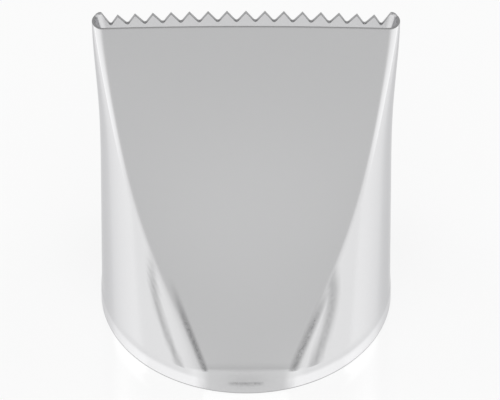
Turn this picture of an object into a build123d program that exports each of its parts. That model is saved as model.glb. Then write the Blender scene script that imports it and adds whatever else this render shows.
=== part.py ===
from build123d import *

import math
import os

# A piping nozzle that lays a broad, flat band of icing: a tube of thin stainless sheet, round at its
# base and pressed nearly flat at its mouth. One long edge of the mouth is smooth and the other is
# saw-toothed, to comb the icing. It stands on its round base, mouth up.
#
# Frame: origin at the centre of the base rim, +Z up to the mouth, +X along the mouth's width,
# -Y towards the wall with the smooth edge and +Y towards the wall with the teeth. Millimetres.

# ---- Driving dimensions ----------------------------------------------------------------------

nozzle_height = 57.15  # base rim to the middle of the mouth, 2 1/4 in
base_diameter = 44.5  # outside of the round collar, 1 3/4 in
mouth_width = 46.5  # outside, across the rounded ends of the slot
mouth_gap = 2.9  # clear gap in the middle, between the two long walls
mouth_bow = 0.18  # how far each long wall bulges outwards in the middle of the mouth
bow_growth = 3  # how late that bulge comes on the way up the wall, as a power
sheet_thickness = 0.45

collar_height = 1.8  # the part of the base that the press leaves round
barrel_diameter = 44.24  # across the sides above the collar, which is left a little proud
panel_foot_height = 3.9  # where the flat panels begin, above the soft bend over the collar
panel_foot_inset = 0.9  # how far the foot of a panel stands in from the collar
ear_length = 31.0  # how far below the mouth the sides start to swell outwards
ear_growth = 1.5  # how late the swell comes, as a power

crease_inside_radius = 0.45  # tightest bend between a panel and a side
foot_corner_radius = 9.0  # the same bend at the foot of the panel, where it opens into a cone
crease_fade = 4.5  # how quickly the wide bend at the foot closes to the tight crease, as a power
slot_end_growth = 5.0  # how late the tight crease opens into the slot's rounded end, as a power
foot_fold_angle = 26.0  # turn of the sheet through the bend at the foot of a panel
mouth_fold_angle = 56.0  # turn of the sheet through the bend at the mouth
fold_growth = 1.4  # how the turn grows between them, as a power

mouth_arch = 0.5  # how much lower the mouth's trimmed edge is at its ends than in the middle
tooth_pitch = 2.78
last_pitch = 2.3  # between the outermost notch at each end and its neighbour
row_sag = 0.47  # how much further the row of notches bends down at the ends than that edge does
tooth_angle = 51.0  # between the two flanks of a notch
notch_depth = 2.6  # from the trimmed edge to the bottom of a notch, in the middle of the row
valley_radius = 0.45  # left at the bottom of each notch by the tip of the cutter

wall_bands = 26  # straight-sided bands that the walls are drawn in, from the panels' foot up
band_crowding = 1.15  # how much closer together they are at the foot, as a power
trim_allowance = 0.6  # the tube is pressed this much too tall, and its mouth is then trimmed

# ---- Sizes that follow from them -------------------------------------------------------------

collar_radius = base_diameter / 2
barrel_radius = barrel_diameter / 2
mouth_half_width = mouth_width / 2
foot_half_depth = collar_radius - panel_foot_inset
mouth_half_depth = mouth_gap / 2 + sheet_thickness - mouth_bow
panel_rise = nozzle_height - panel_foot_height
panel_lean = math.atan2(foot_half_depth - mouth_half_depth, panel_rise)
crease_radius = crease_inside_radius + sheet_thickness


def panel_share(height):
    """How far up the panels a height is: 0 at their foot and 1 at the mouth."""
    return max((height - panel_foot_height) / panel_rise, 0.0)


def half_depth(height):
    """Half the depth between the two panels' long creases. Both panels lean in to the mouth."""
    return foot_half_depth - math.tan(panel_lean) * (height - panel_foot_height)


def half_width(height):
    """Half the width across the sides, which are straight and then swell into ears at the mouth."""
    climb = min(max(1.0 - (nozzle_height - height) / ear_length, 0.0), 1.0)
    swell = math.sin(math.pi / 2 * climb**ear_growth) ** 2
    return barrel_radius + (mouth_half_width - barrel_radius) * swell


def corner_radius(height):
    """Radius of the bend between a panel and a side: a cone, then a crease, then the slot's end."""
    share = panel_share(height)
    cone = (foot_corner_radius - crease_radius) * max(1.0 - share, 0.0) ** crease_fade
    slot_end = (mouth_half_depth - crease_radius) * share**slot_end_growth
    return crease_radius + cone + slot_end


def fold_angle(height):
    """Turn of the sheet through that bend, in radians."""
    growth = panel_share(height) ** fold_growth
    return math.radians(foot_fold_angle + (mouth_fold_angle - foot_fold_angle) * growth)


def section_quarter(height, inset):
    """One quarter of a pressed section, drawn this far in from the outside of the sheet.

    Gives the panel's end, the middle and the end of the bend, and the side's widest point. The
    side is an arc that is tangent to the bend and square to the widest point.
    """
    depth = half_depth(height) - inset / math.cos(panel_lean)
    width = half_width(height) - inset
    bend = corner_radius(height) - inset
    turn = fold_angle(height)
    side = (depth - bend * (1 - math.cos(turn))) / math.cos(turn)
    bend_end = (width - side * (1 - math.sin(turn)), side * math.cos(turn))
    panel_end = (bend_end[0] - bend * math.sin(turn), depth)
    bend_middle = (
        panel_end[0] + bend * math.sin(turn / 2),
        panel_end[1] - bend * (1 - math.cos(turn / 2)),
    )
    return panel_end, bend_middle, bend_end, (width, 0.0)


def round_quarter(radius, pressed_quarter):
    """The same four points on a circle, each as far across it as on the pressed section above."""
    widest = pressed_quarter[-1][0]
    across = [x / widest for x, y in pressed_quarter]
    return [(radius * share, radius * math.sqrt(1 - share**2)) for share in across]


def draw_loop(quarter, panel_middle):
    """Draw a whole section from its quarter: for each wall a panel and two bends, then two sides."""
    panel_end, bend_middle, bend_end, widest = quarter
    for wall in (-1, 1):
        ends = [(hand * panel_end[0], wall * panel_end[1]) for hand in (-1, 1)]
        if panel_middle > panel_end[1]:
            ThreePointArc(ends[0], (0, wall * panel_middle), ends[1])
        else:
            Line(*ends)
        for hand in (-1, 1):
            ThreePointArc(*[(hand * x, wall * y) for x, y in (panel_end, bend_middle, bend_end)])
    for hand in (-1, 1):
        x, y = bend_end
        ThreePointArc((hand * x, -y), (hand * widest[0], 0), (hand * x, y))


def draw_round(radius, inset):
    """Draw the collar's circle in arcs that match the pressed section over it."""
    draw_loop(round_quarter(radius, section_quarter(panel_foot_height, inset)), radius)


def draw_pressed(height, inset):
    """Draw the pressed section at a height. The panels' bow comes in towards the mouth."""
    quarter = section_quarter(height, inset)
    draw_loop(quarter, quarter[0][1] + mouth_bow * panel_share(height) ** bow_growth)


def mouth_line(x):
    """Height of the trimmed edge of the mouth at x: a shallow arch, highest in the middle."""
    return nozzle_height - mouth_arch * (x / mouth_half_width) ** 2


def pressed_tube(inset):
    """Make the tube as a solid, this far in from the outside of the sheet."""
    round_radius = collar_radius - inset
    with BuildPart() as tube:
        with BuildSketch(Plane.XY):
            Circle(round_radius)
        extrude(amount=collar_height)

        # The shoulder is the soft bend from the round collar to the foot of the panels
        with BuildSketch(Plane.XY.offset(collar_height)):
            with BuildLine():
                draw_round(round_radius, inset)
            make_face()
        with BuildSketch(Plane.XY.offset(panel_foot_height)):
            with BuildLine():
                draw_pressed(panel_foot_height, inset)
            make_face()
        loft()

        # The walls are two leaning panels, and sides that turn from a barrel into the slot's ends
        for band in range(wall_bands + 1):
            climb = (band / wall_bands) ** band_crowding
            height = panel_foot_height + (panel_rise + trim_allowance) * climb
            with BuildSketch(Plane.XY.offset(height)):
                with BuildLine():
                    draw_pressed(height, inset)
                make_face()
        loft(ruled=True)
    return tube.part


# ---- Notch: a V with a rounded bottom, its edge at the trimmed edge of the mouth ---------------

half_tooth_angle = math.radians(tooth_angle / 2)
sharp_depth = notch_depth + valley_radius * (1 / math.sin(half_tooth_angle) - 1)
notch_top = 2 * trim_allowance  # the profile runs on above the trimmed edge
notch_top_half = (sharp_depth + notch_top) * math.tan(half_tooth_angle)

with BuildSketch() as notch_profile:
    with BuildLine():
        Polyline(
            (-notch_top_half, notch_top),
            (0, -sharp_depth),
            (notch_top_half, notch_top),
            close=True,
        )
    make_face()
    fillet(notch_profile.vertices().sort_by(Axis.Y)[0], valley_radius)

# The row stands evenly about the middle, with a tooth there, and keeps to the flat of the wall
mouth_flat_half = section_quarter(nozzle_height, 0.0)[0][0]
notches_each_side = int(mouth_flat_half / tooth_pitch + 0.5)
row_places = [tooth_pitch * (step + 0.5) for step in range(notches_each_side)]
row_places[-1] += last_pitch - tooth_pitch
notch_places = []
for across in row_places:
    row_line = mouth_line(across) - row_sag * (across / mouth_half_width) ** 2
    notch_places += [(-across, row_line), (across, row_line)]

# ---- The shell: the tube, less the same tube one sheet thickness further in --------------------

tube_outside = pressed_tube(0.0)
tube_hollow = pressed_tube(sheet_thickness)

with BuildPart() as nozzle_shell:
    add(tube_outside)
    add(tube_hollow, mode=Mode.SUBTRACT)

    # Mouth: trimmed to a shallow arch
    trim_half = mouth_half_width + trim_allowance
    trim_top = nozzle_height + 2 * trim_allowance
    with BuildSketch(Plane.XZ):
        with BuildLine():
            arch = ThreePointArc(
                (-trim_half, mouth_line(trim_half)),
                (0, nozzle_height),
                (trim_half, mouth_line(trim_half)),
            )
            Polyline(arch @ 1, (trim_half, trim_top), (-trim_half, trim_top), arch @ 0)
        make_face()
    extrude(amount=collar_radius, both=True, mode=Mode.SUBTRACT)

    # Teeth: notches through the wall at +Y alone
    with BuildSketch(Plane.XZ):
        with Locations(*notch_places):
            add(notch_profile.sketch)
    extrude(amount=-collar_radius, mode=Mode.SUBTRACT)

nozzle_shell.part.label = "nozzle_shell"

os.makedirs("parts", exist_ok=True)
export_step(nozzle_shell.part, "parts/nozzle_shell.step")
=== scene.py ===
"""Looks of a piping nozzle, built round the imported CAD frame.

The nozzle is one pressed tube of bright stainless sheet: round at its base, nearly flat at its
mouth, smooth along the front edge of the mouth and saw-toothed along the back. The script models
that sheet finely, gives it its finishes, and sets it on a pale floor under soft studio light.
Sizes are named in millimetres, and meshes are made in metres.
"""

import logging
import math
from dataclasses import dataclass, field
from enum import Enum
from typing import Sequence

import bpy
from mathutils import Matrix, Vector


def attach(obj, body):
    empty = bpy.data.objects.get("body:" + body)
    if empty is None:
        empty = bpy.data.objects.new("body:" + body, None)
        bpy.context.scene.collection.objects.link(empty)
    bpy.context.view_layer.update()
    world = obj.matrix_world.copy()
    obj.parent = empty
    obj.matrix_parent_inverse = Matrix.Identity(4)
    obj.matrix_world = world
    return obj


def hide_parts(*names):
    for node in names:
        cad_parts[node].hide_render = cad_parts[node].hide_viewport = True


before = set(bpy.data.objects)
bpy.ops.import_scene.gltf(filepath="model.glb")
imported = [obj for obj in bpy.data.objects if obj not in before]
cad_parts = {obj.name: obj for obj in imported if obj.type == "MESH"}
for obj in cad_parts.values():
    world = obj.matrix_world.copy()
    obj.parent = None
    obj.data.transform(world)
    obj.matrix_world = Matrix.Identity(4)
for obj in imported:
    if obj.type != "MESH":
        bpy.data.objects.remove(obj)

MM = 0.001
BODY = "root"
PAINTED_HIGHLIGHT = "painted_highlight"  # mesh attribute: where a highlight is painted on the sheet, brighter, 0 to 1
SCUFF_AND_PAINTED_SHADE = "scuff_and_painted_shade"  # mesh attribute: where painted shade darkens the sheet, and where a rub dulls the front collar, 0 to 1
EDGE_FINISH = 1  # place of the cut edges' finish among the shell's materials; the sheet's is 0
WHITE = (1.0, 1.0, 1.0, 1.0)

logging.basicConfig(level=logging.INFO, format="%(levelname)s %(name)s: %(message)s")
log = logging.getLogger("nozzle")

Point = tuple[float, float]


class Wall(Enum):
    """The two long walls, by the side of the middle plane that each stands on."""

    FRONT = -1
    BACK = 1


class Patch(Enum):
    """The parts of a quarter of the tube's section, from the middle of a wall round to the side."""

    PANEL = "panel"
    BEND = "bend"
    SIDE = "side"


# ---- Small helpers ---------------------------------------------------------------------------


def deselect_all() -> None:
    """Leave edit mode and deselect every object."""
    if bpy.context.object is not None and bpy.context.object.mode != "OBJECT":
        bpy.ops.object.mode_set(mode="OBJECT")
    bpy.ops.object.select_all(action="DESELECT")


def ease(share: float) -> float:
    """Turn a share from 0 to 1 into one that starts and ends gently."""
    share = min(max(share, 0.0), 1.0)
    return share * share * (3 - 2 * share)


def mix(start: float, end: float, share: float) -> float:
    """Go from start to end by a share."""
    return start + (end - start) * share


def linear(hex_colour: str) -> tuple[float, float, float, float]:
    """Turn an sRGB hex colour into linear RGBA.

    Args:
        hex_colour: Six hex digits after a number sign.

    Returns:
        The linear red, green and blue, and an alpha of 1.
    """
    channels = [int(hex_colour[at : at + 2], 16) / 255 for at in (1, 3, 5)]
    lit = [c / 12.92 if c <= 0.04045 else ((c + 0.055) / 1.055) ** 2.4 for c in channels]
    return lit[0], lit[1], lit[2], 1.0


def add_node(
    tree: bpy.types.NodeTree,
    kind: str,
    settings: dict | None = None,
    values: dict | None = None,
    links: dict | None = None,
) -> bpy.types.Node:
    """Add one node to a tree.

    Args:
        tree: The node tree of a material or world.
        kind: The node's type name.
        settings: Attributes of the node itself.
        values: Numbers or colours for its input sockets, by name or number.
        links: Output sockets to join to its input sockets, by name or number.

    Returns:
        The new node.
    """
    node = tree.nodes.new(kind)
    for name, value in (settings or {}).items():
        setattr(node, name, value)
    for name, value in (values or {}).items():
        node.inputs[name].default_value = value
    for name, output in (links or {}).items():
        tree.links.new(output, node.inputs[name])
    return node


def new_material(name: str) -> bpy.types.Material:
    """Make an empty node material.

    Args:
        name: What the finish is, in a maker's words.

    Returns:
        The material, with no nodes yet.
    """
    material = bpy.data.materials.new(name)
    material.use_nodes = True
    material.node_tree.nodes.clear()
    return material


# ---- Finishes --------------------------------------------------------------------------------


@dataclass(frozen=True)
class BrightStainless:
    """18/8 stainless steel, bright-rolled in the coil and then pressed.

    The rolls leave a silvery, half-mirror skin: reflections are soft, and a fine grain runs up the
    sheet. Pressing leaves the flat walls a little uneven. A highlight is painted on the collar's
    sides and the upper bends, and mottled painted shade on the collar's drawn-in middle and along
    the lower bends.
    """

    colour: str = "#E8E8E9"
    # painted highlight: the colour on the collar's sides and on the bends near the mouth
    highlight_colour: str = "#F8F8F9"
    # painted shade: the colour on the collar's drawn-in middle and in the streaks along the lower
    # bends, and on the front collar's rub
    scuff_and_shade_colour: str = "#8D8D8E"
    edge_tint: str = "#D9D9DA"  # steel mirrors a little less at a glancing angle
    roughness: float = 0.15
    roughness_spread: float = 0.015
    highlight_smoothing: float = 0.07  # how much smoother the sheet is under the painted highlight
    scuff_and_shade_roughening: float = 0.2  # how much rougher the sheet is under the painted shade and the rub
    mottle_mm: float = 0.5  # size of the flecks in the painted shade and the rub
    mottle_span: Point = (0.35, 0.6)  # values of its noise at which a fleck is whole, and gone
    mottle_depth: float = 0.6  # how much of the full painted shade and rub is missing at a fleck
    mottle_growth: float = 3.0  # how late the flecks come as the painted shade and rub deepen, as a power
    cloud_mm: float = 9.0  # size of the soft unevenness that rolling and handling leave
    cloud_span: Point = (0.3, 0.7)  # values of its noise where the sheet is smoothest and roughest
    grain_mm: float = 0.3  # the real grain is a tenth of this, too fine to show
    grain_stretch: float = 14.0  # how much longer than wide a streak of grain is
    grain_height_mm: float = 0.0006
    wave_mm: float = 16.0  # length of the shallow waves in the pressed walls
    wave_height_mm: float = 0.012

    def build(self) -> bpy.types.Material:
        """Make the material.

        Returns:
            A metal whose roughness and bump vary with Object coordinates, and whose colour and
            roughness follow the painted-highlight and scuff-and-shade attributes of the mesh.
        """
        material = new_material("stainless_bright_rolled")
        tree = material.node_tree
        place = add_node(tree, "ShaderNodeTexCoord").outputs["Object"]
        cloud = add_node(
            tree,
            "ShaderNodeTexNoise",
            values={"Scale": 1 / (self.cloud_mm * MM), "Detail": 3.0, "Roughness": 0.5},
            links={"Vector": place},
        )
        rough = add_node(
            tree,
            "ShaderNodeMapRange",
            values={
                "From Min": self.cloud_span[0],
                "From Max": self.cloud_span[1],
                "To Min": self.roughness - self.roughness_spread,
                "To Max": self.roughness + self.roughness_spread,
            },
            links={"Value": cloud.outputs["Fac"]},
        )
        stretched = add_node(
            tree,
            "ShaderNodeMapping",
            values={"Scale": (1.0, 1.0, 1 / self.grain_stretch)},
            links={"Vector": place},
        )
        grain = add_node(
            tree,
            "ShaderNodeTexNoise",
            values={"Scale": 1 / (self.grain_mm * MM), "Detail": 2.0},
            links={"Vector": stretched.outputs["Vector"]},
        )
        waves = add_node(
            tree,
            "ShaderNodeTexNoise",
            values={"Scale": 1 / (self.wave_mm * MM), "Detail": 0.0},
            links={"Vector": place},
        )
        wavy = add_node(
            tree,
            "ShaderNodeBump",
            values={"Strength": 1.0, "Distance": self.wave_height_mm * MM},
            links={"Height": waves.outputs["Fac"]},
        )
        grained = add_node(
            tree,
            "ShaderNodeBump",
            values={"Strength": 1.0, "Distance": self.grain_height_mm * MM},
            links={"Height": grain.outputs["Fac"], "Normal": wavy.outputs["Normal"]},
        )
        painted_highlight = add_node(tree, "ShaderNodeAttribute", {"attribute_name": PAINTED_HIGHLIGHT})
        scuff_and_painted_shade = add_node(tree, "ShaderNodeAttribute", {"attribute_name": SCUFF_AND_PAINTED_SHADE})
        flecks = add_node(
            tree,
            "ShaderNodeTexNoise",
            values={"Scale": 1 / (self.mottle_mm * MM), "Detail": 3.0},
            links={"Vector": place},
        )
        mottle = add_node(
            tree,
            "ShaderNodeMapRange",
            values={
                "From Min": self.mottle_span[0],
                "From Max": self.mottle_span[1],
                "To Min": -self.mottle_depth,
                "To Max": 0.0,
            },
            links={"Value": flecks.outputs["Fac"]},
        )
        # Only deep painted shade and rubs are mottled: a light one is an even haze
        deep = add_node(
            tree,
            "ShaderNodeMath",
            {"operation": "POWER"},
            values={1: self.mottle_growth},
            links={0: scuff_and_painted_shade.outputs["Fac"]},
        )
        scuff_and_shade_depth = add_node(
            tree,
            "ShaderNodeMath",
            {"operation": "MULTIPLY_ADD"},
            links={0: deep.outputs[0], 1: mottle.outputs["Result"], 2: scuff_and_painted_shade.outputs["Fac"]},
        )
        # Painted highlight: the sheet is coloured brighter where the painted-highlight attribute is
        bright = add_node(
            tree,
            "ShaderNodeMix",
            {"data_type": "RGBA"},
            values={6: linear(self.colour), 7: linear(self.highlight_colour)},
            links={0: painted_highlight.outputs["Fac"]},
        )
        # Painted shade: the sheet is coloured darker where the scuff-and-shade attribute is, and at
        # the front collar's rub
        colour = add_node(
            tree,
            "ShaderNodeMix",
            {"data_type": "RGBA"},
            values={7: linear(self.scuff_and_shade_colour)},
            links={0: scuff_and_shade_depth.outputs[0], 6: bright.outputs[2]},
        )
        smoother = add_node(
            tree,
            "ShaderNodeMath",
            {"operation": "MULTIPLY_ADD"},
            values={1: -self.highlight_smoothing},
            links={0: painted_highlight.outputs["Fac"], 2: rough.outputs["Result"]},
        )
        rougher = add_node(
            tree,
            "ShaderNodeMath",
            {"operation": "MULTIPLY_ADD"},
            values={1: self.scuff_and_shade_roughening},
            links={0: scuff_and_shade_depth.outputs[0], 2: smoother.outputs[0]},
        )
        shader = add_node(
            tree,
            "ShaderNodeBsdfPrincipled",
            values={"Metallic": 1.0, "Specular Tint": linear(self.edge_tint)},
            links={
                "Base Color": colour.outputs[2],
                "Roughness": rougher.outputs[0],
                "Normal": grained.outputs["Normal"],
            },
        )
        add_node(
            tree, "ShaderNodeOutputMaterial", links={"Surface": shader.outputs["BSDF"]}
        )
        return material


@dataclass(frozen=True)
class CutStainless:
    """The sheared edge of the same sheet, left as the press tool cut it: grey and rather matt."""

    colour: str = "#B2B2B3"
    roughness: float = 0.45
    tear_mm: float = 0.25  # width of the tool's torn streaks across the edge
    tear_height_mm: float = 0.01

    def build(self) -> bpy.types.Material:
        """Make the material.

        Returns:
            A duller metal with a rough bump.
        """
        material = new_material("stainless_sheared_edge")
        tree = material.node_tree
        place = add_node(tree, "ShaderNodeTexCoord").outputs["Object"]
        tears = add_node(
            tree,
            "ShaderNodeTexNoise",
            values={"Scale": 1 / (self.tear_mm * MM), "Detail": 2.0},
            links={"Vector": place},
        )
        torn = add_node(
            tree,
            "ShaderNodeBump",
            values={"Strength": 1.0, "Distance": self.tear_height_mm * MM},
            links={"Height": tears.outputs["Fac"]},
        )
        shader = add_node(
            tree,
            "ShaderNodeBsdfPrincipled",
            values={
                "Base Color": linear(self.colour),
                "Metallic": 1.0,
                "Roughness": self.roughness,
            },
            links={"Normal": torn.outputs["Normal"]},
        )
        add_node(
            tree, "ShaderNodeOutputMaterial", links={"Surface": shader.outputs["BSDF"]}
        )
        return material


@dataclass(frozen=True)
class WhiteAcrylic:
    """A sheet of white acrylic, lit from within and all round, with a clear gloss on top.

    Seen steeply it is plain white with the object's faint shadow. Seen along its surface it
    mirrors the room, as gloss does.
    """

    colour: str = "#FFFFFF"
    glow: float = 1.0  # 1 renders as white
    glow_share: float = 0.8  # the rest is lit by the lamps, and takes the object's shadow
    gloss_roughness: float = 0.12
    gloss_ior: float = 1.49

    def build(self) -> bpy.types.Material:
        """Make the material.

        Returns:
            A pale floor that camera, mirror and glass rays see nearly white.
        """
        material = new_material("white_acrylic")
        tree = material.node_tree
        rays = add_node(tree, "ShaderNodeLightPath").outputs
        seen = add_node(
            tree,
            "ShaderNodeMath",
            {"operation": "MAXIMUM"},
            links={0: rays["Is Camera Ray"], 1: rays["Is Glossy Ray"]},
        )
        seen = add_node(
            tree,
            "ShaderNodeMath",
            {"operation": "MAXIMUM"},
            links={0: seen.outputs[0], 1: rays["Is Transmission Ray"]},
        )
        share = add_node(
            tree,
            "ShaderNodeMath",
            {"operation": "MULTIPLY"},
            values={1: self.glow_share},
            links={0: seen.outputs[0]},
        )
        lit = add_node(
            tree, "ShaderNodeBsdfDiffuse", values={"Color": linear(self.colour)}
        )
        glowing = add_node(
            tree,
            "ShaderNodeEmission",
            values={"Color": WHITE, "Strength": self.glow},
        )
        body = add_node(
            tree,
            "ShaderNodeMixShader",
            links={0: share.outputs[0], 1: lit.outputs[0], 2: glowing.outputs[0]},
        )
        gloss = add_node(
            tree,
            "ShaderNodeBsdfAnisotropic",
            values={"Color": WHITE, "Roughness": self.gloss_roughness},
        )
        glance = add_node(tree, "ShaderNodeFresnel", values={"IOR": self.gloss_ior})
        coated = add_node(
            tree,
            "ShaderNodeMixShader",
            links={0: glance.outputs[0], 1: body.outputs[0], 2: gloss.outputs[0]},
        )
        add_node(
            tree, "ShaderNodeOutputMaterial", links={"Surface": coated.outputs[0]}
        )
        return material


# ---- The nozzle ------------------------------------------------------------------------------


@dataclass
class ToothRow:
    """The row of notches along the back edge of the mouth, in millimetres."""

    pitch: float = 2.78
    last_pitch: float = 2.6  # to the outermost notch, along the edge; it is 2.3 at their bottoms
    notch_depth: float = 2.88  # from the trimmed edge to the bottom of a notch, in the middle
    sag: float = 0.47  # how much further the row bends down at the ends than that edge does
    half_angle: float = math.radians(25.5)  # between a flank of a notch and its middle line
    valley_radius: float = 0.22
    outer_flank: float = 1.6  # how much steeper the outermost flank at each end is
    notches_each_side: int = 8
    stretch: float = 0.22  # half way along, notches are this much further out than in an even row
    stretch_pitches: float = 7.2  # pitches from the middle at which they are even again
    columns_per_pitch: int = 12

    @property
    def columns(self) -> int:
        """Columns of the mesh from the middle of the wall to the end of the row."""
        return self.notches_each_side * self.columns_per_pitch

    def valleys(self) -> list[float]:
        """Place the bottoms of the notches on one side.

        Returns:
            Their distances from the middle of the wall, outwards.
        """
        places = []
        for step in range(self.notches_each_side - 1):
            pitches = step + 0.5
            ahead = self.stretch * math.sin(math.pi * pitches / self.stretch_pitches)
            places.append(self.pitch * pitches + ahead)
        return places + [places[-1] + self.last_pitch]

    def across(self, pitches: float, row_end: float) -> float:
        """Place along the wall of a point that is a number of pitches from the middle.

        Args:
            pitches: The count, whole at a tooth's tip and half at a valley.
            row_end: Where the flat of the wall ends.

        Returns:
            The distance from the middle.
        """
        valleys = self.valleys()
        tips = [0.0] + [(near + far) / 2 for near, far in zip(valleys, valleys[1:])]
        stops = [place for pair in zip(tips, valleys) for place in pair] + [row_end]
        below = min(int(2 * pitches), len(stops) - 2)
        return mix(stops[below], stops[below + 1], 2 * pitches - below)

    def rise(self, across: float) -> float:
        """Height of the edge over the bottoms of the notches: Vs with round bottoms.

        Args:
            across: Distance from the middle of the wall.

        Returns:
            The height, in millimetres.
        """
        valleys = self.valleys()
        off_valley = min(abs(across - valley) for valley in valleys)
        if across > valleys[-1]:
            off_valley *= self.outer_flank
        tangent = self.valley_radius * math.cos(self.half_angle)
        if off_valley < tangent:
            return self.valley_radius - math.sqrt(self.valley_radius**2 - off_valley**2)
        foot = self.valley_radius * (1 - math.sin(self.half_angle))
        return foot + (off_valley - tangent) / math.tan(self.half_angle)


@dataclass(frozen=True)
class PaintedShadeStreak:
    """A streak of painted shade along one edge of a lower bend, in millimetres."""

    offsets: Point  # outwards from that edge of the bend, on the left hand and on the right
    half_widths: Point  # on the left hand and on the right
    top: float  # height at which it has faded out
    fade: float  # height over which it fades
    strength: float
    bulge: float = 0.0  # how much further out it runs half way up
    drifts: Point = (0.0, 0.0)  # how much further in it runs at its top, on the left and right

    def depth(self, off_edge: float, hand: int, height: float) -> float:
        """Find how strong the streak is at a point.

        Args:
            off_edge: How far out the point is from that edge of the bend.
            hand: -1 on the left and 1 on the right.
            height: Millimetres over the base rim.

        Returns:
            A strength from 0 to 1.
        """
        side = 0 if hand < 0 else 1
        climb = min(max(height / self.top, 0.0), 1.0)
        middle = self.offsets[side] + self.bulge * math.sin(math.pi * climb)
        middle -= self.drifts[side] * climb**2
        aside = ease(abs(off_edge - middle) / self.half_widths[side])
        return self.strength * (1 - aside) * ease((self.top - height) / self.fade)


@dataclass
class NozzleShell:
    """The pressed sheet, in millimetres, laid out like the CAD solid.

    Where the creases run, the bends at the foot of the walls, the collar drawn in under the walls
    and the notches are closer to the real nozzle here than in the solid.

    A column of the mesh is a line up the sheet, and a row is a ring round it. The ring is drawn as
    a plain circle, extruded up into a cylinder, and pressed point by point into the nozzle.
    """

    height: float = 57.15
    base_radius: float = 22.24
    barrel_radius: float = 22.12  # half the width across the sides, over the collar
    mouth_half_width: float = 23.235
    mouth_half_depth: float = 1.72  # from the middle plane to the ends of a long wall's edge
    mouth_bow: float = 0.18  # how much further out the middle of that edge is
    bow_growth: float = 3.0  # how late that bow comes on the way up, as a power
    thickness: float = 0.45
    collar_height: float = 1.8
    foot_height: float = 3.9  # where the flat walls begin, over the soft shoulder
    foot_half_depth: float = 21.35  # from the middle plane to the foot of a long wall
    shoulder_ease: float = 0.3  # how soft the shoulder's two bends are: 0 is a straight cone
    ear_length: float = 31.0  # how far below the mouth the sides start to swell
    ear_growth: float = 1.5  # how late that swell comes, as a power
    crease_radius: float = 0.9
    foot_bend_radius: float = 6.5
    crease_fade: float = 4.5  # how quickly the bend at the foot closes to the crease, as a power
    slot_end_growth: float = 5.0  # how late the crease opens into the slot's end, as a power
    foot_fold: float = math.radians(26.0)  # turn of the sheet through the bend at the foot
    mouth_fold: float = math.radians(56.0)  # and at the mouth
    full_fold_share: float = 0.8  # how far up the walls that turn is complete
    mouth_arch: float = 0.5  # how much lower the mouth's edge is at its ends
    lobe_rise: float = 0.25  # how far the ends of the back edge stand over the arch
    edge_round: float = 0.08  # what deburring takes off the cut edges
    edge_segments: int = 2
    edge_angle: float = math.radians(50.0)  # only the cut edges turn more sharply than this
    crisp_angle: float = math.radians(38.0)  # an edge that turns more sharply isn't smoothed over
    bend_columns: int = 12
    side_columns: int = 32
    collar_rows: int = 3
    shoulder_rows: int = 8
    wall_rows: int = 34
    mouth_rows: int = 10
    mouth_band: float = 7.0  # height of the band in which the rows take up the edge's shape
    edge_row: float = 0.15  # a row this close to each cut edge keeps the edge crisp
    foot_row: float = 0.3  # and one this close over the foot of the walls keeps its bend short
    flattened_half: float = 6.4  # half the width over which the press draws the collar in
    flattened_fade: float = 1.2
    flattened_foot: float = 0.35  # height from which it is drawn in there
    collar_highlight_fade: float = 1.0  # height over which the painted highlight on the collar fades
    corner_foot: float = 30.0  # height from which a highlight is painted on the bends, up to the mouth
    corner_fade: float = 14.0
    corner_onset: float = 0.4  # share of the way across a bend over which its painted highlight comes in
    # Painted shade: dark streaks along the two edges of each lower bend
    inner_streak: PaintedShadeStreak = PaintedShadeStreak(
        (-0.1, 0.8), (0.8, 1.1), top=19.0, fade=9.0, strength=0.8, drifts=(1.0, 0.0)
    )
    outer_streak: PaintedShadeStreak = PaintedShadeStreak(
        (0.0, 0.24), (0.9, 1.4), top=24.0, fade=8.0, strength=0.6, bulge=2.05, drifts=(1.6, 4.0)
    )
    streak_clear: float = 0.7  # the outer streak fades out over this much beside the flat wall
    collar_shade: float = 0.34  # how dark the painted shade on the drawn-in part of the collar is
    dull_half: float = 5.4  # half the width over which it is fully dull
    dull_fade: float = 2.6
    dull_top: float = 0.6  # how far over the foot of the walls it has faded out
    tool_mark_half: float = 2.0  # half the length of the faint rub at the top of the front collar
    tool_mark_fade: float = 1.6
    tool_mark_height: float = 0.4
    tool_mark_depth: float = 0.7
    wall_wave: float = 0.07  # how far a wall waves in and out between its foot and the mouth
    teeth: ToothRow = field(default_factory=ToothRow)

    @property
    def quarter_columns(self) -> int:
        """Columns in a quarter of the ring."""
        return self.teeth.columns + self.bend_columns + self.side_columns

    @property
    def ring_columns(self) -> int:
        """Columns in the whole ring."""
        return 4 * self.quarter_columns

    @property
    def lean(self) -> float:
        """How far the long walls lean from upright, in radians."""
        rise = self.height - self.foot_height
        return math.atan2(self.foot_half_depth - self.mouth_half_depth, rise)

    def share(self, height: float) -> float:
        """How far up the walls a height is: 0 at their foot and 1 at the mouth."""
        return max((height - self.foot_height) / (self.height - self.foot_height), 0.0)

    def half_depth(self, height: float) -> float:
        """Half the depth between the long walls' creases."""
        return self.foot_half_depth - math.tan(self.lean) * (height - self.foot_height)

    def half_width(self, height: float) -> float:
        """Find half the width across the sides, which swell into ears at the mouth.

        Args:
            height: Millimetres over the base rim.

        Returns:
            The distance from the middle plane to the widest point.
        """
        climb = min(max(1 - (self.height - height) / self.ear_length, 0.0), 1.0)
        swell = math.sin(math.pi / 2 * climb**self.ear_growth) ** 2
        return mix(self.barrel_radius, self.mouth_half_width, swell)

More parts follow.
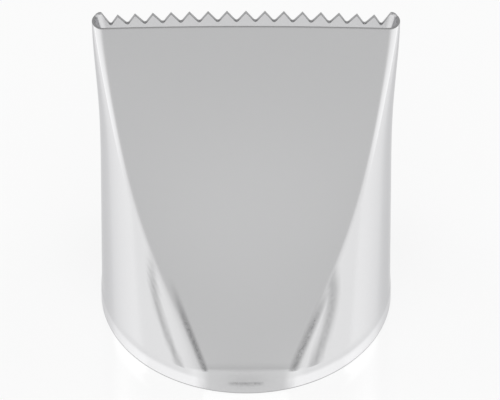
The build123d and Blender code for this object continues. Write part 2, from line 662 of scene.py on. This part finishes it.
    def bend_radius(self, height: float) -> float:
        """Find the radius of the bend between a wall and a side.

        Args:
            height: Millimetres over the base rim.

        Returns:
            The outside radius: a cone's at the foot, then a crease's, then the slot's end's.
        """
        share = self.share(height)
        cone = (self.foot_bend_radius - self.crease_radius) * (
            max(1 - share, 0.0) ** self.crease_fade
        )
        slot_end = (self.mouth_half_depth - self.crease_radius) * (
            share**self.slot_end_growth
        )
        return self.crease_radius + cone + slot_end

    def fold(self, height: float) -> float:
        """Turn of the sheet through that bend, in radians."""
        growth = ease(self.share(height) / self.full_fold_share)
        return mix(self.foot_fold, self.mouth_fold, growth)

    def patch(self, column: int) -> tuple[Patch, float]:
        """Find the patch that a column of the quarter is on.

        Args:
            column: Count from the middle of the wall, from 0 to quarter_columns.

        Returns:
            The patch, and how far across it the column is, from 0 to 1.
        """
        if column <= self.teeth.columns:
            return Patch.PANEL, column / self.teeth.columns
        column -= self.teeth.columns
        if column <= self.bend_columns:
            return Patch.BEND, column / self.bend_columns
        return Patch.SIDE, (column - self.bend_columns) / self.side_columns

    def pressed(self, column: int, height: float) -> Point:
        """Place of a column on the pressed section at a height.

        Args:
            column: Count from the middle of the wall, from 0 to quarter_columns.
            height: Millimetres over the base rim, at the foot of the walls or over it.

        Returns:
            The distances from the two middle planes, both positive.
        """
        depth, width = self.half_depth(height), self.half_width(height)
        bend, turn = self.bend_radius(height), self.fold(height)
        panel_end, _, side = self.bend_stops(height)
        patch, across = self.patch(column)
        if patch is Patch.PANEL:
            pitches = across * self.teeth.notches_each_side
            reach = self.teeth.across(pitches, self.flat_end) / self.flat_end
            share = self.share(height)
            bow = self.mouth_bow * share**self.bow_growth
            bow -= self.wall_wave * math.sin(2 * math.pi * share)
            return panel_end * reach, depth + bow * (1 - reach**2)
        if patch is Patch.BEND:
            angle = turn * across
            return (
                panel_end + bend * math.sin(angle),
                depth - bend * (1 - math.cos(angle)),
            )
        angle = (math.pi / 2 - turn) * (1 - across)
        return width - side * (1 - math.cos(angle)), side * math.sin(angle)

    def bend_stops(self, height: float) -> tuple[float, float, float]:
        """Lay out the bend between a wall and a side.

        Args:
            height: Millimetres over the base rim, at the foot of the walls or over it.

        Returns:
            Where the flat of the wall ends, where the bend ends, and the radius of the side.
        """
        bend, turn = self.bend_radius(height), self.fold(height)
        side = (self.half_depth(height) - bend * (1 - math.cos(turn))) / math.cos(turn)
        bend_end = self.half_width(height) - side * (1 - math.sin(turn))
        return bend_end - bend * math.sin(turn), bend_end, side

    @property
    def flat_end(self) -> float:
        """How far from the middle the flat of the wall ends at the mouth."""
        return self.bend_stops(self.height)[0]

    def section(self, column: int, height: float) -> Point:
        """Place of a column at any height: on the collar, the soft shoulder or the walls.

        Args:
            column: Count from the middle of the wall, from 0 to quarter_columns.
            height: Millimetres over the base rim.

        Returns:
            The distances from the two middle planes, both positive.
        """
        if height >= self.foot_height:
            return self.pressed(column, height)
        x, y = self.pressed(column, self.foot_height)
        share = x / self.barrel_radius
        round_x = self.base_radius * share
        round_y = self.base_radius * math.sqrt(max(1 - share**2, 0.0))
        top = mix(self.collar_height, self.flattened_foot, self.flattened(x))
        climb = min(max((height - top) / (self.foot_height - top), 0.0), 1.0)
        climb = mix(climb, ease(climb), self.shoulder_ease)
        return mix(round_x, x, climb), mix(round_y, y, climb)

    def flattened(self, x: float) -> float:
        """How far the press has drawn the collar in at x, from 1 under a panel to 0."""
        return 1 - ease((x - self.flattened_half) / self.flattened_fade)

    def dulled(self, x: float) -> float:
        """How far the collar is painted dull at x, from 1 under a panel to 0: painted shade on its
        drawn-in middle.
        """
        return 1 - ease((x - self.dull_half) / self.dull_fade)

    def edge_height(self, column: int, wall: Wall) -> float:
        """Height of the mouth's cut edge at a column.

        Args:
            column: Count from the middle of the wall, from 0 to quarter_columns.
            wall: The wall that the column is on, or nearer to.

        Returns:
            Millimetres over the base rim.
        """
        x, _ = self.pressed(column, self.height)
        out = (x / self.mouth_half_width) ** 2
        arch = self.height - self.mouth_arch * out
        if wall is Wall.FRONT:
            return arch
        patch, across = self.patch(column)
        lobe = self.lobe_rise * math.sin(math.pi * across) if patch is Patch.BEND else 0.0
        row_bottom = arch - self.teeth.notch_depth - self.teeth.sag * out
        return min(arch + lobe, row_bottom + self.teeth.rise(x))

    def row_heights(self) -> list[float]:
        """Lay out the mesh's rings on a wall with a plain edge.

        Returns:
            Their heights, from the base to the mouth.
        """
        stretches = (
            (0.0, self.collar_height, self.collar_rows),
            (self.collar_height, self.foot_height, self.shoulder_rows),
            (self.foot_height, self.height - self.mouth_band, self.wall_rows),
            (self.height - self.mouth_band, self.height, self.mouth_rows),
        )
        heights = [
            0.0,
            self.edge_row,
            self.foot_height + self.foot_row,
            self.height - self.edge_row,
        ]
        for bottom, top, rows in stretches:
            heights += [mix(bottom, top, row / rows) for row in range(1, rows + 1)]
        return sorted(heights)

    def locate(self, turn: float) -> tuple[int, Wall, int]:
        """Find which column of which quarter a point of the plain cylinder is on.

        Args:
            turn: Angle round the cylinder from the middle of the back wall, 0 to 2 pi.

        Returns:
            The column, its wall, and its hand: -1 on the left and 1 on the right.
        """
        ring = round(turn / (2 * math.pi) * self.ring_columns) % self.ring_columns
        quarter, step = divmod(ring, self.quarter_columns)
        column = step if quarter % 2 == 0 else self.quarter_columns - step
        wall = Wall.BACK if quarter in (0, 3) else Wall.FRONT
        return column, wall, -1 if quarter in (0, 1) else 1

    def settle(self, column: int, wall: Wall, height: float) -> float:
        """Move a height on the plain cylinder to its height on a wall with a shaped edge.

        Args:
            column: Count from the middle of the wall, from 0 to quarter_columns.
            wall: The wall that the column is on, or nearer to.
            height: Height on the cylinder, in millimetres.

        Returns:
            The same height under the mouth's band, and a share of the band's own height in it.
        """
        band_foot = self.height - self.mouth_band
        if height <= band_foot:
            return height
        share = (height - band_foot) / self.mouth_band
        return mix(band_foot, self.edge_height(column, wall), share)

    def painted_highlight(self, column: int, height: float) -> float:
        """How bright a highlight is painted on a point: the collar's sides, and the bends near the
        mouth.

        Args:
            column: Count from the middle of the wall, from 0 to quarter_columns.
            height: Millimetres over the base rim.

        Returns:
            A share from 0 to 1.
        """
        patch, across = self.patch(column)
        x, _ = self.pressed(column, self.foot_height)
        # Painted highlight on the collar's sides and on the bends near the mouth
        collar = 1 - ease((height - self.collar_height) / self.collar_highlight_fade)
        corner = ease((height - self.corner_foot) / self.corner_fade)
        bend = ease(across / self.corner_onset) * corner if patch is Patch.BEND else 0.0
        return max(bend, collar * (1 - self.dulled(x)))

    def scuff_and_painted_shade(self, column: int, wall: Wall, hand: int, height: float) -> float:
        """How dark a point is painted: painted shade along a lower bend and on the drawn-in collar,
        and the rub at the top of the front collar.

        Args:
            column: Count from the middle of the wall, from 0 to quarter_columns.
            wall: The wall that the column is on, or nearer to.
            hand: -1 on the left and 1 on the right.
            height: Millimetres over the base rim.

        Returns:
            A share from 0 to 1.
        """
        x, _ = self.section(column, height)
        # Painted shade on the drawn-in middle of the collar
        over_foot = (height - self.foot_height) / self.dull_top
        dull = self.collar_shade * self.dulled(x) * (1 - ease(over_foot))
        if height < self.foot_height:
            if wall is Wall.FRONT:
                off_mark = abs(height - self.collar_height) / self.tool_mark_height
                off_end = (x - self.tool_mark_half) / self.tool_mark_fade
                mark = (1 - ease(off_mark)) * (1 - ease(off_end))
                dull = max(dull, self.tool_mark_depth * mark)
            return dull
        panel_end, bend_end, _ = self.bend_stops(height)
        # Painted shade: the dark streaks beside a lower bend
        inner = self.inner_streak.depth(x - panel_end, hand, height)
        outer = self.outer_streak.depth(x - bend_end, hand, height)
        outer *= ease((x - panel_end) / self.streak_clear)
        return max(dull, inner, outer)

    def build(self, sheet: BrightStainless, edge: CutStainless) -> bpy.types.Object:
        """Model the sheet.

        Args:
            sheet: The finish of the two faces of the sheet.
            edge: The finish of its cut edges.

        Returns:
            The finished piece, its place in its mesh.
        """
        heights = self.row_heights()
        deselect_all()
        bpy.ops.mesh.primitive_circle_add(
            vertices=self.ring_columns, radius=self.base_radius * MM, fill_type="NOTHING"
        )
        shell = bpy.context.object
        shell.name = shell.data.name = "nozzle_sheet"
        bpy.ops.object.mode_set(mode="EDIT")
        bpy.ops.mesh.select_all(action="SELECT")
        for below, above in zip(heights, heights[1:]):
            bpy.ops.mesh.extrude_region_move(
                TRANSFORM_OT_translate={"value": (0, 0, (above - below) * MM)}
            )
        bpy.ops.mesh.select_all(action="SELECT")
        bpy.ops.mesh.normals_make_consistent(inside=False)
        bpy.ops.object.mode_set(mode="OBJECT")
        first = shell.data.polygons[0]
        if first.normal.dot(first.center) < 0:
            shell.data.flip_normals()
        self.press(shell)
        # The finishes come first, because the rim and the rounded edges take the second of them
        for finish in (sheet, edge):
            shell.data.materials.append(finish.build())
        for face in shell.data.polygons:
            if face.center.z < self.edge_row * MM:
                face.material_index = EDGE_FINISH  # the cut edges' finish also on the lowest band of the faces: painted shade, a dark line round the base rim where it meets the floor
        self.thicken(shell)
        return shell

    def press(self, shell: bpy.types.Object) -> None:
        """Press the plain cylinder into the nozzle, and note where a highlight and shade are
        painted on it, with the rub on the front collar.

        Args:
            shell: The cylinder. Its points are moved, and get the painted-highlight and
                scuff-and-shade attributes.
        """
        masks: dict[str, list[float]] = {PAINTED_HIGHLIGHT: [], SCUFF_AND_PAINTED_SHADE: []}
        for vertex in shell.data.vertices:
            column, wall, hand = self.locate(
                math.atan2(-vertex.co.x, vertex.co.y) % (2 * math.pi)
            )
            height = self.settle(column, wall, vertex.co.z / MM)
            x, y = self.section(column, height)
            vertex.co = Vector((hand * x, wall.value * y, height)) * MM
            masks[PAINTED_HIGHLIGHT].append(self.painted_highlight(column, height))
            masks[SCUFF_AND_PAINTED_SHADE].append(self.scuff_and_painted_shade(column, wall, hand, height))
        for name, values in masks.items():
            attribute = shell.data.attributes.new(name, "FLOAT", "POINT")
            attribute.data.foreach_set("value", values)

    def thicken(self, shell: bpy.types.Object) -> None:
        """Give the pressed surface its sheet thickness, and take the burr off its edges.

        Args:
            shell: The surface of the outside of the sheet.
        """
        deselect_all()
        shell.select_set(True)
        bpy.context.view_layer.objects.active = shell
        sheet = shell.modifiers.new("sheet", "SOLIDIFY")
        sheet.thickness = self.thickness * MM
        sheet.offset = -1.0
        sheet.use_even_offset = True
        sheet.use_rim = True
        sheet.material_offset_rim = EDGE_FINISH
        bpy.ops.object.modifier_apply(modifier=sheet.name)
        burr = shell.modifiers.new("burr", "BEVEL")
        burr.width = self.edge_round * MM
        burr.segments = self.edge_segments
        burr.limit_method = "ANGLE"
        burr.angle_limit = self.edge_angle
        burr.material = EDGE_FINISH
        bpy.ops.object.modifier_apply(modifier=burr.name)
        bpy.ops.object.shade_smooth_by_angle(angle=self.crisp_angle)


# ---- The studio ------------------------------------------------------------------------------


@dataclass(frozen=True)
class Softbox:
    """A soft rectangular lamp that points at the nozzle."""

    name: str
    place: tuple[float, float, float]  # metres
    size: tuple[float, float]  # metres
    radiance: float  # 1 is as bright as a white surface in plain light

    def build(self, target: Vector) -> None:
        """Make the lamp.

        Args:
            target: The point that it faces.
        """
        data = bpy.data.lights.new(self.name, "AREA")
        data.shape = "RECTANGLE"
        data.size, data.size_y = self.size
        data.energy = self.radiance * math.pi * self.size[0] * self.size[1]
        lamp = bpy.data.objects.new(self.name, data)
        lamp.location = self.place
        lamp.rotation_euler = (target - lamp.location).to_track_quat("-Z", "Y").to_euler()
        bpy.context.scene.collection.objects.link(lamp)


@dataclass
class Studio:
    """Floor, soft light and camera. The camera looks down at the mouth, square to its front."""

    elevation: float = math.radians(43.34)
    picture_scale: float = 6.506  # pixels for a millimetre, at the middle of the base
    picture_width: int = 500
    picture_height: int = 400
    base_pixel: Point = (246.05, 292.49)  # where the middle of the base is in the picture
    camera_distance: float = 2.0  # metres; a longer lens further off would blank the other views
    clip_start: float = 0.1  # metres
    clip_end: float = 100.0  # metres
    floor_size: float = 6.0  # metres
    room_light: float = 0.52  # 1 lights a white surface to plain white by itself
    lamp_target: tuple[float, float, float] = (0.0, 0.0, 0.02)  # metres
    softboxes: Sequence[Softbox] = (
        Softbox("softbox_left", (-1.1, 0.35, 0.7), (0.8, 0.8), 1.5),
        Softbox("softbox_right", (1.1, 0.35, 0.7), (0.8, 0.8), 1.5),
        Softbox("softbox_top", (0.0, -0.5, 1.1), (1.0, 1.0), 1.7),
    )

    def build_floor(self) -> None:
        """Lay the floor, which isn't part of the nozzle, under the base rim."""
        deselect_all()
        bpy.ops.mesh.primitive_plane_add(size=self.floor_size, location=(0, 0, 0))
        floor = bpy.context.object
        floor.name = "floor"
        floor.data.materials.append(WhiteAcrylic().build())

    def build_world(self) -> None:
        """Light the room evenly from all round."""
        world = bpy.data.worlds.new("studio_room")
        world.use_nodes = True
        world.node_tree.nodes.clear()
        light = add_node(
            world.node_tree,
            "ShaderNodeBackground",
            values={"Color": WHITE, "Strength": self.room_light},
        )
        add_node(
            world.node_tree,
            "ShaderNodeOutputWorld",
            links={"Surface": light.outputs["Background"]},
        )
        bpy.context.scene.world = world

    def build_camera(self) -> None:
        """Set up the camera with a long lens, so that parallel edges stay nearly parallel."""
        ahead = Vector((0, math.cos(self.elevation), -math.sin(self.elevation)))
        up = Vector((0, math.sin(self.elevation), math.cos(self.elevation)))
        right = Vector((1, 0, 0))
        off_x = (self.picture_width / 2 - self.base_pixel[0]) / self.picture_scale * MM
        off_y = (self.base_pixel[1] - self.picture_height / 2) / self.picture_scale * MM
        aim = right * off_x + up * off_y
        data = bpy.data.cameras.new("camera")
        view_width = self.picture_width / self.picture_scale * MM
        data.lens = data.sensor_width * self.camera_distance / view_width
        data.clip_start, data.clip_end = self.clip_start, self.clip_end
        camera = bpy.data.objects.new("camera", data)
        bpy.context.scene.collection.objects.link(camera)
        camera.location = aim - ahead * self.camera_distance
        camera.rotation_euler = ahead.to_track_quat("-Z", "Y").to_euler()
        bpy.context.scene.camera = camera

    def build(self) -> None:
        """Make the floor, the light and the camera, and leave the colours as they are."""
        self.build_floor()
        self.build_world()
        for softbox in self.softboxes:
            softbox.build(Vector(self.lamp_target))
        self.build_camera()
        bpy.context.scene.view_settings.view_transform = "Standard"


def main() -> None:
    """Build the nozzle and the studio, and report each."""
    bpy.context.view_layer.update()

    shell = NozzleShell().build(BrightStainless(), CutStainless())
    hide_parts("nozzle_shell")
    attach(shell, BODY)
    log.info("%s: %d faces", shell.name, len(shell.data.polygons))

    Studio().build()
    log.info("studio: floor, world, softboxes and camera")


if __name__ == "__main__":
    main()
